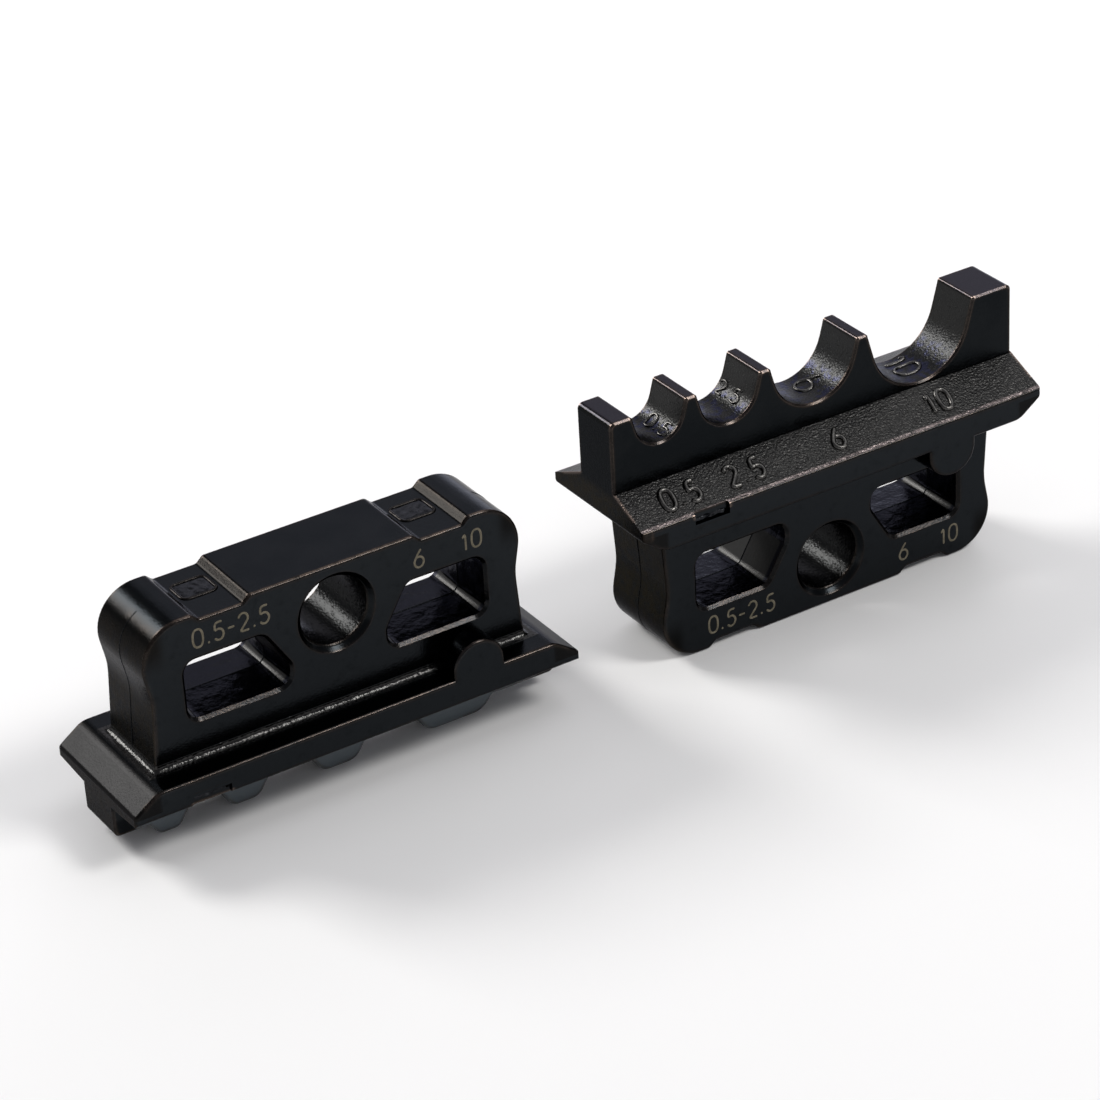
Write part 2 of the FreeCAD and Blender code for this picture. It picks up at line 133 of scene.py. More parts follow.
class Graph:
    """The nodes of a material or of the surroundings, under construction."""

    def __init__(self, owner: Union[bpy.types.Material, bpy.types.World]) -> None:
        """Empty the node tree of its owner.

        Args:
            owner: the material or the surroundings.
        """
        self.owner = owner
        owner.use_nodes = True
        self.tree = owner.node_tree
        self.tree.nodes.clear()

    @staticmethod
    def of_material(name: str) -> "Graph":
        """Start a material with the given name."""
        return Graph(bpy.data.materials.new(name))

    def add(self, kind: str, settings: Optional[dict] = None,
            sockets: Optional[dict] = None) -> bpy.types.Node:
        """Add any node.

        Args:
            kind: the node's type.
            settings: its properties, which are set first.
            sockets: values or wires for its inputs, by name or place.

        Returns:
            The node.
        """
        node = self.tree.nodes.new(kind)
        for name, value in (settings or {}).items():
            setattr(node, name, value)
        for key, value in (sockets or {}).items():
            if isinstance(value, Wire):
                self.tree.links.new(value.socket, node.inputs[key])
            else:
                node.inputs[key].default_value = value
        return node

    def local(self, centre: Sequence[float]) -> "Wire":
        """Object coordinates in millimetres from a chosen point.

        Args:
            centre: the chosen point, such as the foot of a die's bore axis, in millimetres.

        Returns:
            The vector.
        """
        where = self.add("ShaderNodeTexCoord")
        scaled = self.add("ShaderNodeVectorMath", {"operation": "SCALE"},
                          {0: Wire(self, where.outputs["Object"]), "Scale": 1.0 / MM})
        moved = self.add("ShaderNodeVectorMath", {"operation": "SUBTRACT"},
                         {0: Wire(self, scaled.outputs[0]), 1: tuple(centre)})
        return Wire(self, moved.outputs[0])

    def normal(self) -> "Wire":
        """The surface normal in the object's own axes."""
        return Wire(self, self.add("ShaderNodeTexCoord").outputs["Normal"])

    def split(self, vector: Wire) -> tuple[Wire, Wire, Wire]:
        """The three components of a vector."""
        node = self.add("ShaderNodeSeparateXYZ", None, {0: vector})
        return Wire(self, node.outputs[0]), Wire(self, node.outputs[1]), Wire(self, node.outputs[2])

    def stretched(self, point: Wire, factors: Sequence[float]) -> Wire:
        """Scale each axis of a point, so that a pattern runs along one of them.

        Args:
            point: the point.
            factors: one number for each axis.

        Returns:
            The scaled point.
        """
        settings = {"operation": "MULTIPLY"}
        node = self.add("ShaderNodeVectorMath", settings, {0: point, 1: tuple(factors)})
        return Wire(self, node.outputs[0])

    def noise(self, point: Wire, scale: float, detail: float = 2.0, rough: float = 0.5) -> Wire:
        """Noise between 0 and 1.

        Args:
            point: the point in millimetres.
            scale: how many cells fit in a millimetre.
            detail: how many finer layers are added.
            rough: the strength of each layer beside the one before.

        Returns:
            The noise.
        """
        node = self.add("ShaderNodeTexNoise", {"noise_dimensions": "3D"},
                        {"Vector": point, "Scale": scale, "Detail": detail, "Roughness": rough})
        return Wire(self, node.outputs[0])

    def mix(self, factor: Number, first: Union[Colour, Wire], second: Union[Colour, Wire]) -> Wire:
        """Blend two colours.

        Args:
            factor: 0 gives the first colour and 1 the second.
            first: three numbers or a wire.
            second: the same.

        Returns:
            The blend.
        """
        chosen = {0: factor}
        for key, value in ((6, first), (7, second)):
            chosen[key] = value if isinstance(value, Wire) else (*value, 1.0)
        node = self.add("ShaderNodeMix", {"data_type": "RGBA"}, chosen)
        return Wire(self, node.outputs[2])

    def edges(self, reach: float) -> Wire:
        """How near a point is to a convex edge: 0 on open faces, towards 1 on a sharp edge.

        Args:
            reach: the distance in millimetres over which an edge is felt.

        Returns:
            One minus the occlusion that is measured inside the solid.
        """
        settings = {"inside": True, "only_local": True, "samples": 8}
        node = self.add("ShaderNodeAmbientOcclusion", settings, {"Distance": reach * MM})
        return 1.0 - Wire(self, node.outputs["AO"])

    def bump(self, height: Wire) -> Wire:
        """Normals of a surface raised by a height in millimetres."""
        node = self.add("ShaderNodeBump", None, {"Height": height, "Strength": 1.0, "Distance": MM})
        return Wire(self, node.outputs[0])

    def surface(self, sockets: dict) -> bpy.types.Material:
        """Close the material with a Principled shader.

        Args:
            sockets: values or wires for the shader's inputs.

        Returns:
            The material.
        """
        shader = self.add("ShaderNodeBsdfPrincipled", None, sockets)
        self.add("ShaderNodeOutputMaterial", None, {"Surface": Wire(self, shader.outputs[0])})
        return self.owner


class Side(Enum):
    """Which way a die stands."""

    LOWER = "lower_die"
    UPPER = "upper_die"


@dataclass(frozen=True)
class Stand:
    """Where a die stands: x and y of its bore axis, the height of its back face, and its rise."""

    side: Side
    across: float
    along: float
    back: float
    rise: float

    def world(self, local: np.ndarray) -> np.ndarray:
        """Turn points (x, y, height off the back face) in millimetres into the frame's metres.

        Args:
            local: an array of points, one in each row.

        Returns:
            The array (x + across, y + along, back + rise times height), in metres.
        """
        signs = np.array([1.0, 1.0, self.rise])
        return (local * signs + np.array([self.across, self.along, self.back])) * MM


LOWER = Stand(Side.LOWER, 20.4, -0.85, 0.0, 1.0)
UPPER = Stand(Side.UPPER, -20.4, 0.85, 17.05, -1.0)


@dataclass(frozen=True)
class Zones:
    """Masks of the parts of a die, each 1 on its part and 0 elsewhere."""

    ledge: Wire
    comb_end: Wire
    lobes: Wire
    nest: Wire
    nest_floor: Wire
    tips: Wire
    window: Wire
    window_flat: Wire
    window_curve: Wire
    bore: Wire
    ends: Wire
    horn: Wire
    root: Wire
    front: Wire
    lip: Wire
    sunk: Wire
    brim: Wire
    step: Wire
    bevel: Wire
    edge: Wire


@dataclass(frozen=True)
class Landmarks:
    """Where the parts of a die begin and end, in millimetres.

    Heights are measured off the back face, out along the die from its bore axis, and deep across
    it from its middle plane. A pair for a ramp is a soft edge, with the value outside the part
    first, and a pair for a band is its two ends. The lifts and facings are shares of a surface
    normal: how far it points away from the back face, along the die, or across it.
    """

    ledge_lift: Span = (0.86, 0.955)
    nest_facing: Span = (0.3, 0.1)
    nest_floor_lift: Span = (0.62, 0.85)
    window_facing: Span = (0.86, 0.95)
    end_facing: Span = (0.75, 0.92)
    front_facing: Span = (0.9, 0.97)
    lip_lift: Span = (0.8, 0.86)
    relief_lift: Span = (-0.9, -0.97)
    brim_lift: Span = (-0.75, -0.85)
    step_facing: Span = (0.3, 0.85)
    ledge_rise: Span = (13.05, 13.2)
    ledge_deep: Span = (2.15, 2.3)
    comb_rise: Span = (14.9, 15.1)
    comb_deep: Span = (2.3, 2.2)
    comb_end_rise: Span = (14.0, 15.0)
    lobe_rise: Span = (14.6, 15.4)
    lobe_out: Span = (16.6, 16.2)
    nest_top: Span = (20.36, 20.2)
    nest_out: Span = (17.9, 17.7)
    tip_rise: Span = (20.32, 20.44)
    window_deep: Span = (3.32, 3.22)
    window_out: Span = (3.8, 12.05)
    window_rise: Span = (3.45, 8.3)
    window_rim: Span = (3.0, 2.8)
    bore_height: float = 3.8
    bore_reach: Span = (2.793, 2.720)
    end_out: Span = (13.0, 14.0)
    horn_rise: Span = (4.0, 1.5)
    root_rise: Span = (10.66, 11.17)
    root_deep: Span = (4.1, 4.0)
    root_out: Span = (16.0, 15.6)
    front_top: Span = (14.9, 14.5)
    flange_deep: Span = (5.3, 5.4)
    lip_rise: Span = (13.1, 13.36)
    relief_rise: Span = (0.35, 0.65)
    brim_deep: Span = (3.22, 3.32)
    brim_rise: Span = (1.3, 1.0)
    step_rise: Span = (0.75, 0.6)
    step_out: Span = (13.0, 12.5)
    bevel_out: Span = (15.7, 16.1)
    bevel_rise: Span = (11.1, 12.7)
    gate_along: Span = (-13.75, -10.25)
    gate_rise: Span = (12.25, 12.85)
    gate_deep: Span = (5.2, 5.4)
    corner_out: Span = (17.0, 17.4)
    corner_rise: Span = (12.0, 13.7)
    edge_reach: float = 0.34
    edge_most: float = 0.42

    def zones(self, graph: Graph, stand: Stand, point: Wire) -> Zones:
        """Find the parts of a die from where a point is and which way its surface faces.

        Args:
            graph: the material.
            stand: where the die stands.
            point: the point in the die's millimetres.

        Returns:
            The masks.
        """
        x, y, z = graph.split(point)
        side_x, side_y, side_z = graph.split(graph.normal())
        height, lift = z * stand.rise, side_z * stand.rise
        out, deep = abs(x), abs(y)
        upper = float(stand.side is Side.UPPER)

        comb = height.ramp(*self.comb_rise) * deep.ramp(*self.comb_deep)
        nest = (comb * abs(side_y).ramp(*self.nest_facing) * height.ramp(*self.nest_top)
                * out.ramp(*self.nest_out))
        window = (deep.ramp(*self.window_deep) * out.band(*self.window_out, 0.05)
                  * height.band(*self.window_rise, 0.05))
        flat = abs(side_x).larger(abs(side_z)).ramp(*self.window_facing)
        above_axis = height - self.bore_height
        axis_gap = (x * x + above_axis * above_axis).root()
        ends = abs(side_x).ramp(*self.end_facing) * out.ramp(*self.end_out)
        gate = (x.band(*self.gate_along, 0.05) * height.band(*self.gate_rise, 0.05)
                * deep.ramp(*self.gate_deep))
        corner = out.ramp(*self.corner_out) * height.band(*self.corner_rise, 0.1)
        edge = graph.edges(self.edge_reach).smaller(self.edge_most)
        return Zones(
            ledge=(lift.band(*self.ledge_lift, 0.015) * height.ramp(*self.ledge_rise)
                   * deep.ramp(*self.ledge_deep)),
            comb_end=ends * height.ramp(*self.comb_end_rise) * (1.0 - upper),
            lobes=height.ramp(*self.lobe_rise) * out.ramp(*self.lobe_out) * upper,
            nest=nest,
            nest_floor=nest * lift.ramp(*self.nest_floor_lift),
            tips=height.ramp(*self.tip_rise),
            window=window,
            window_flat=window * flat,
            window_curve=window * (1.0 - flat),
            bore=axis_gap.ramp(*self.bore_reach),
            ends=ends,
            horn=out.ramp(*self.end_out) * height.ramp(*self.horn_rise),
            root=(height.band(*self.root_rise, 0.03) * deep.ramp(*self.root_deep)
                  * out.ramp(*self.root_out)),
            front=abs(side_y).ramp(*self.front_facing) * height.ramp(*self.front_top),
            lip=(lift.ramp(*self.lip_lift) * deep.ramp(*self.flange_deep)
                 * height.band(*self.lip_rise, 0.03)),
            sunk=lift.ramp(*self.relief_lift) * height.band(*self.relief_rise, 0.05),
            brim=(lift.ramp(*self.brim_lift) * deep.ramp(*self.brim_deep)
                  * height.ramp(*self.brim_rise)),
            step=(height.ramp(*self.step_rise) * out.ramp(*self.step_out)
                  * abs(side_x).band(*self.step_facing, 0.05)),
            bevel=out.ramp(*self.bevel_out) * height.band(*self.bevel_rise, 0.05),
            edge=edge * (1.0 - gate) * (1.0 - corner * 0.6))


@dataclass(frozen=True)
class BlackOxide:
    """Oxidised sintered steel of a die, worn to bronze on its edges. Some of its colours are painted
    light: highlights, a floor reflection on the lobes and blue reflections in the nests, and the wear
    is painted lighter where it faces up.

    The steel is a dark metal: its colours are linear shares of reflected light, and the glance
    is what is left of that light at a flat angle. Heights of the grain are millimetres.
    """

    name: str
    stand: Stand
    landmarks: Landmarks = Landmarks()
    black: Colour = (0.0078, 0.0092, 0.0104)
    smoke: Colour = (0.0108, 0.0122, 0.0134)
    haze: Colour = (0.0172, 0.0194, 0.0216)
    shade: Colour = (0.0060, 0.0070, 0.0072)
    olive: Colour = (0.0170, 0.0140, 0.0080)
    cast: Colour = (0.0400, 0.0395, 0.0388)
    # Pale grey painted on the lobes: a painted reflection of the bright floor that also lifts the shade
    # on them.
    painted_floor_light: Colour = (0.0860, 0.1020, 0.1140)
    blue: Colour = (0.0105, 0.0108, 0.0150)
    lilac: Colour = (0.0230, 0.0222, 0.0265)
    # A higher reflectance painted where highlights should be brighter: round corners of the windows,
    # the root of the block and the nests.
    painted_highlight_colour: Colour = (0.0330, 0.0328, 0.0322)
    # Painted blue reflection, for patches on the nest floors.
    painted_blue_reflection: Colour = (0.0260, 0.0275, 0.0470)
    drill: Colour = (0.0115, 0.0118, 0.0118)
    pewter: Colour = (0.0098, 0.0096, 0.0095)
    dun: Colour = (0.0064, 0.0060, 0.0055)
    sepia: Colour = (0.0090, 0.0079, 0.0069)
    rust: Colour = (0.0190, 0.0150, 0.0120)
    umber: Colour = (0.0720, 0.0560, 0.0470)
    # Painted highlight, pinkish, for the lower edge of the ledge.
    painted_lip_highlight: Colour = (0.230, 0.195, 0.190)
    tarnish: Colour = (0.100, 0.080, 0.070)
    # The bronze of the wear painted lighter, for edges that face up, as painted light.
    painted_lit_bronze: Colour = (0.190, 0.146, 0.124)
    glance: Colour = (0.555, 0.555, 0.565)

    def build(self) -> bpy.types.Material:
        """Make the material.

        Returns:
            The material, in the die's own millimetres.
        """
        graph = Graph.of_material(self.name)
        stand = self.stand
        point = graph.local((stand.across, stand.along, stand.back))
        zones = self.landmarks.zones(graph, stand, point)
        cloud = graph.noise(point, 0.32, 3.0)
        mottle = graph.noise(point, 1.6, 3.0, 0.6)
        grain = graph.noise(point, 7.0, 1.0, 0.4)
        wear = (zones.edge + (mottle - 0.5) * 0.20 + (grain - 0.5) * 0.10).ramp(0.13, 0.48)
        rough = (0.15 + cloud * 0.08 + grain * 0.05 + zones.ledge * 0.10 + zones.nest * 0.09
                 + zones.window * 0.02 + zones.window_curve * 0.10 + zones.bevel * 0.12
                 + zones.ends * 0.06 + wear * 0.06)
        return graph.surface({
            "Base Color": self.tint(graph, zones, point, (cloud, mottle, grain, wear)),
            # The lobes are no metal, so their painted floor light shows as a flat pale grey.
            "Metallic": 1.0 - zones.lobes,
            "Roughness": rough,
            "Specular Tint": (*self.glance, 1.0),
            "Normal": graph.bump(self.relief(graph, zones, point, (mottle, grain))),
        })

    def tint(self, graph: Graph, zones: Zones, point: Wire, noises: Sequence[Wire]) -> Wire:
        """Lay the colours over each other, from the plain oxide to the wear on the edges, with painted
        highlights, a painted floor reflection and painted blue reflections among them.

        Args:
            graph: the material.
            zones: the masks of the die's parts.
            point: the point in the die's millimetres.
            noises: the broad, middle and fine noise, and the wear.

        Returns:
            The colour.
        """
        cloud, mottle, grain, wear = noises
        small_nests = graph.split(point)[0].ramp(8.0, 0.0).larger(0.75)
        # Painted highlight: a higher reflectance on the rounded corners of the windows away from their
        # rims, on the root of the block, and in all the nests, most in the small ones.
        painted_highlight = zones.window_curve * abs(graph.split(point)[1]).ramp(*self.landmarks.window_rim)
        painted_highlight = painted_highlight.larger(zones.root).larger(zones.nest * 0.9 * small_nests)
        # Real bronze wear, painted lighter where the surface faces up, as painted light from above.
        wear_with_painted_top_light = graph.mix(graph.split(graph.normal())[2].ramp(0.3, 0.6), self.tarnish, self.painted_lit_bronze)
        burnt = graph.mix(cloud.ramp(0.4, 0.6), self.sepia, self.dun)
        clouded = (cloud + (grain - 0.5) * 0.5).ramp(0.25, 0.75)
        edge_rust = zones.edge.ramp(0.03, 0.22) * cloud.ramp(0.3, 0.6) * (1.0 - zones.ledge)
        coats = (
            (zones.front * mottle.ramp(0.0, 0.5), self.haze),
            (zones.ends * mottle.ramp(0.15, 0.7) * 0.8, self.olive),
            (zones.comb_end, self.shade),
            (zones.horn * 0.85, burnt),
            (zones.step, self.dun),
            (zones.bevel * 0.9, self.pewter),
            (zones.sunk, self.smoke),
            # Painted light: the lobes are painted pale, as if lit by the floor.
            (zones.lobes, self.painted_floor_light),
            (zones.tips, self.lilac),
            (zones.ledge, self.cast),
            (zones.window * 0.8, self.blue),
            (zones.bore, self.drill),
            (painted_highlight, self.painted_highlight_colour),
            # Painted reflection: mottled blue patches on the nest floors that face up.
            (zones.nest_floor * mottle.ramp(0.48, 0.6), self.painted_blue_reflection),
            (edge_rust, self.rust),
            (wear, wear_with_painted_top_light),
            # Painted highlight: a pinkish strip along the lower edge of the ledge, broken by mottle.
            (zones.lip * mottle.ramp(0.2, 0.6), self.painted_lip_highlight),
            (zones.brim * mottle.ramp(0.25, 0.6), self.umber),
        )
        base = graph.mix(clouded, self.black, self.smoke)
        for share, colour in coats:
            base = graph.mix(share, base, colour)
        return base

    def relief(self, graph: Graph, zones: Zones, point: Wire, noises: Sequence[Wire]) -> Wire:
        """Add up the grain of the skin: faint everywhere, coarser on cast and torn parts.

        Args:
            graph: the material.
            zones: the masks of the die's parts.
            point: the point in the die's millimetres.
            noises: the middle and fine noise.

        Returns:
            The height in millimetres.
        """
        mottle, grain = noises
        sand = graph.noise(point, 4.4, 1.5, 0.45)
        crumple = graph.noise(point, 1.0, 3.0, 0.5)
        lines = graph.noise(graph.stretched(point, (0.25, 6.0, 0.25)), 1.0, 2.0, 0.6)
        pits = graph.noise(point, 4.4, 2.0, 0.5).ramp(0.62, 0.70)
        skin = grain * 0.007 + mottle * 0.008 + lines * 0.004
        torn = sand * 0.045 + grain * 0.075
        hollow = sand * 0.004 + grain * 0.024 + pits * -0.03
        drilled = sand * 0.02 + grain * 0.01 + pits * -0.04
        return (skin + zones.ledge * torn + zones.nest * hollow
                + zones.window_flat * crumple * 0.10 + zones.bore * drilled
                + zones.root * sand * 0.05 + zones.bevel * sand * 0.006 + zones.lip * sand * 0.03)


@dataclass(frozen=True)
class PlainMark:
    """A finish of one tone with fine grain, for marks on the steel."""

    name: str
    dark: Colour
    light: Colour
    rough: float = 0.25
    metal: float = 1.0
    grain_height: float = 0.004
    glance: Colour = (0.555, 0.555, 0.565)

    def build(self) -> bpy.types.Material:
        """Make the material.

        Returns:
            The material, in millimetres of the frame.
        """
        graph = Graph.of_material(self.name)
        point = graph.local((0.0, 0.0, 0.0))
        grain = graph.noise(point, 9.0, 3.0, 0.6)
        mottle = graph.noise(point, 2.6, 2.0)
        tone = (grain * 0.6 + mottle * 0.6).ramp(0.35, 0.85)
        return graph.surface({
            "Base Color": graph.mix(tone, self.dark, self.light),
            "Metallic": self.metal,
            "Roughness": self.rough + (grain - 0.5) * 0.2,
            "Specular IOR Level": 0.15,
            "Specular Tint": (*self.glance, 1.0),
            "Normal": graph.bump(grain * self.grain_height),
        })


CAST_NUMERAL = PlainMark("cast_numeral", (0.050, 0.049, 0.048), (0.12, 0.116, 0.11),
                         rough=0.24, grain_height=0.015)
LASER_MARK = PlainMark("laser_mark", (0.085, 0.075, 0.052), (0.17, 0.15, 0.11),
                       rough=0.7, metal=0.0)
TORN_GATE = PlainMark("torn_gate", (0.012, 0.013, 0.015), (0.030, 0.031, 0.034),
                      rough=0.20, grain_height=0.01)
FIELD_RIM = PlainMark("field_rim", (0.009, 0.0088, 0.0088), (0.030, 0.027, 0.025),
                      grain_height=0.008)
PARTING_SEAM = PlainMark("parting_seam", (0.005, 0.006, 0.007), (0.010, 0.011, 0.012))


def arc(centre: Sequence[float], radii: Sequence[float], first: float, last: float,
        count: int = 14) -> np.ndarray:
    """Points of an elliptic arc: centre plus (radius times cosine, radius times sine).

    Args:
        centre: the middle of the ellipse.
        radii: its two radii.
        first: the starting angle in degrees.
        last: the ending angle in degrees.
        count: how many points.

    Returns:
        The points, one in each row.
    """
    turn = np.radians(np.linspace(first, last, count))
    return np.stack([centre[0] + radii[0] * np.cos(turn), centre[1] + radii[1] * np.sin(turn)], axis=1)


@dataclass(frozen=True)
class Stroke:
    """One stroke of a character in a cell of width 1 and height 1."""

    points: np.ndarray
    closed: bool = False


def glyph_strokes() -> dict[str, list[Stroke]]:
    """Draw the plain characters that the dies carry.

    Returns:
        The strokes of each character.
    """
    ring = arc((0.5, 0.5), (0.5, 0.5), 0.0, 360.0, 33)[:-1]
    squared = np.sign(ring - 0.5) * np.abs(2.0 * (ring - 0.5)) ** 0.8 * 0.5 + 0.5
    two = np.concatenate([arc((0.5, 0.7), (0.47, 0.3), 165.0, -25.0),
                          [[0.5, 0.28], [0.05, 0.0], [1.0, 0.0]]])
    five = np.concatenate([[[0.92, 1.0], [0.2, 1.0], [0.14, 0.56]],
                           arc((0.5, 0.31), (0.48, 0.31), 110.0, -150.0)])
    six = np.concatenate([[[0.78, 1.0], [0.45, 0.80]], arc((0.5, 0.3), (0.48, 0.3), 160.0, 480.0, 26)])
    return {
        "0": [Stroke(squared, True)],
        "1": [Stroke(np.array([[0.15, 0.72], [0.58, 1.0], [0.58, 0.0]]))],
        "2": [Stroke(two)],
        "5": [Stroke(five)],
        "6": [Stroke(six)],
        ".": [Stroke(np.array([[0.5, 0.0], [0.5, 0.13]]))],
        "-": [Stroke(np.array([[0.08, 0.46], [0.92, 0.46]]))],
    }


GLYPHS = glyph_strokes()


@dataclass(frozen=True)
class Bed:
    """The surface that a mark lies on: a function of across, up and proud, in the die's millimetres."""

    shape: Callable[[np.ndarray, np.ndarray, np.ndarray], np.ndarray]

    @staticmethod
    def plane(origin: Sequence[float], across: Sequence[float], up: Sequence[float],
              out: Sequence[float]) -> "Bed":
        """A flat bed: origin + across times a + up times b + out times c.

        Args:
            origin: where across and up are zero.
            across: the direction that writing runs in.
            up: the direction to the top of the writing.
            out: the direction off the surface.

        Returns:
            The bed.
        """
        start, rows = np.array(origin), np.array([across, up, out])
        return Bed(lambda a, b, c: start + np.stack([a, b, c], axis=-1) @ rows)

    @staticmethod
    def nest(place: float, axis_height: float, radius: float) -> "Bed":
        """The hollow of a nest, where up is the arc length towards +x and across runs to the front.

        The angle is up divided by the radius, the distance to the axis is the radius less proud,
        x is place + distance times sine, and the height is that of the axis - distance times cosine.

        Args:
            place: the x of the nest's axis.
            axis_height: the height of that axis.
            radius: the radius of the nest.

        Returns:
            The bed.
        """
        def shape(a: np.ndarray, b: np.ndarray, c: np.ndarray) -> np.ndarray:
            """Points of the hollow."""
            turn, reach = b / radius, radius - c
            height = axis_height - reach * np.cos(turn)
            return np.stack([place + reach * np.sin(turn), -a, height], axis=-1)

        return Bed(shape)


def resampled(path: np.ndarray, closed: bool, width: float,
              step: float) -> tuple[np.ndarray, np.ndarray]:
    """Cut a path's corners, then space its points evenly, closer at the two ends.

    Each round of cutting puts points at a quarter and at three quarters of every run.

    Args:
        path: the points of the path in millimetres.
        closed: whether the path returns to its start.
        width: the width of the stroke, within which an end is rounded.
        step: the spacing along the path.

    Returns:
        The points, and for each the share of the width that it gets, less than 1 near an end.
    """
    for _ in range(2):
        run = np.roll(path, -1, axis=0) if closed else path[1:]
        base = path if closed else path[:-1]
        cut = np.stack([0.75 * base + 0.25 * run, 0.25 * base + 0.75 * run], axis=1).reshape(-1, 2)
        path = cut if closed else np.concatenate([path[:1], cut, path[-1:]])
    looped = np.concatenate([path, path[:1]]) if closed else path
    along = np.concatenate([[0.0], np.cumsum(np.linalg.norm(np.diff(looped, axis=0), axis=1))])
    total = along[-1]
    count = max(3, int(round(total / step)))
    if closed:
        spots = np.linspace(0.0, total, count, endpoint=False)
        share = np.ones(count)
    else:
        ease = (1.0 - np.cos(np.linspace(0.0, 0.5 * np.pi, 5)[1:])) * min(0.5 * width, 0.45 * total)
        inner = np.linspace(ease[-1], total - ease[-1], count)
        spots = np.concatenate([[0.0], ease[:-1], inner, total - ease[:-1][::-1], [total]])
        end = np.minimum(spots, total - spots) / (0.5 * width)
        share = np.sqrt(np.clip(1.0 - (1.0 - np.clip(end, 0.0, 1.0)) ** 2, 0.02, 1.0))
    points = np.stack([np.interp(spots, along, looped[:, k]) for k in range(2)], axis=1)
    return points, share


@dataclass
class Shell:
    """A growing list of closed shells that become one mesh."""

    points: list[np.ndarray] = field(default_factory=list)
    faces: list[tuple[int, ...]] = field(default_factory=list)
    count: int = 0

    def add(self, points: np.ndarray, faces: Sequence[Sequence[int]]) -> None:
        """Take in one shell.

        Args:
            points: its points, one in each row.
            faces: its faces, counted from its own first point.
        """
        self.faces.extend(tuple(int(k) + self.count for k in face) for face in faces)
        self.points.append(points)
        self.count += len(points)

    def add_rings(self, rings: np.ndarray, closed: bool) -> None:
        """Join rings of points into a tube, with a cap at each end unless it closes on itself.

        Args:
            rings: points as (ring, place in the ring, coordinate).
            closed: whether the last ring joins the first.
        """
        many, around = rings.shape[:2]
        ring = np.arange(many if closed else many - 1)[:, None]
        spot = np.arange(around)[None, :]
        ahead, beside = (ring + 1) % many, (spot + 1) % around
        quads = np.stack([ring * around + spot, ring * around + beside,
                          ahead * around + beside, ahead * around + spot], axis=-1).reshape(-1, 4)
        faces = quads.tolist()
        if not closed:
            faces += [list(range(around))[::-1], list(range((many - 1) * around, many * around))]
        self.add(rings.reshape(-1, 3), faces)

    def add_slab(self, top: np.ndarray, sole: np.ndarray) -> None:
        """Close the space between two grids of the same size.

        Args:
            top: the outer grid as (row, column, coordinate).
            sole: the inner grid.
        """
        rows, columns = top.shape[:2]
        number = np.arange(rows * columns).reshape(rows, columns)
        corners = [number[:-1, :-1], number[1:, :-1], number[1:, 1:], number[:-1, 1:]]
        quads = np.stack(corners, axis=-1).reshape(-1, 4)
        under = quads[:, ::-1] + rows * columns
        rim = np.concatenate([number[0, :], number[1:, -1], number[-1, -2::-1], number[-2:0:-1, 0]])
        ahead = np.roll(rim, -1)
        wall = np.stack([rim, ahead, ahead + rows * columns, rim + rows * columns], axis=-1)
        self.add(np.concatenate([top.reshape(-1, 3), sole.reshape(-1, 3)]),
                 quads.tolist() + under.tolist() + wall.tolist())

    def build(self, name: str, stand: Stand, material: bpy.types.Material) -> bpy.types.Object:
        """Make the piece and let it ride on its die.

        Args:
            name: the name of the piece.
            stand: the die that carries it.
            material: its finish.

        Returns:
            The piece.
        """
        mesh = bpy.data.meshes.new(name)
        mesh.from_pydata(stand.world(np.concatenate(self.points)).tolist(), [], self.faces)
        grown = bmesh.new()
        grown.from_mesh(mesh)
        bmesh.ops.recalc_face_normals(grown, faces=grown.faces[:])
        grown.to_mesh(mesh)
        grown.free()
        mesh.polygons.foreach_set("use_smooth", np.ones(len(mesh.polygons), dtype=bool))
        mesh.set_sharp_from_angle(angle=math.radians(50.0))
        mesh.materials.append(material)
        piece = bpy.data.objects.new(name, mesh)
        bpy.context.collection.objects.link(piece)
        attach(piece, stand.side.value)
        LOG.info("piece %s with %d faces", name, len(mesh.polygons))
        return piece


@dataclass(frozen=True)
class Pen:
    """The profile of a stroke: half an oval that stands proud of its bed and is sunk a little."""

    width: float
    proud: float
    sunk: float = 0.05
    step: float = 0.08

    def draw(self, shell: Shell, bed: Bed, path: np.ndarray, closed: bool) -> None:
        """Carry the profile along a path on the bed.

        The profile's point at angle t lies half a width times cosine t beside the path and
        proud times sine t above the bed. Two more points close it below.

        Args:
            shell: takes in the stroke.
            bed: the surface that carries it.
            path: the path in the bed's millimetres.
            closed: whether the path returns to its start.
        """
        points, share = resampled(path, closed, self.width, self.step)
        if closed:
            run = np.roll(points, -1, axis=0) - np.roll(points, 1, axis=0)
        else:
            run = np.gradient(points, axis=0)
        run = run / np.linalg.norm(run, axis=1, keepdims=True)
        beside = np.stack([-run[:, 1], run[:, 0]], axis=1)
        turn = np.linspace(0.0, np.pi, 7)
        reach = np.concatenate([0.5 * self.width * np.cos(turn), [-0.5 * self.width, 0.5 * self.width]])
        lift = np.concatenate([self.proud * np.sin(turn) ** 0.8, [-self.sunk, -self.sunk]])
        offset = reach[None, :] * share[:, None]
        across = points[:, None, 0] + beside[:, None, 0] * offset
        up = points[:, None, 1] + beside[:, None, 1] * offset
        proud = np.where(lift > 0.0, lift * share[:, None], lift) + np.zeros_like(offset)
        shell.add_rings(bed.shape(across, up, proud), closed)


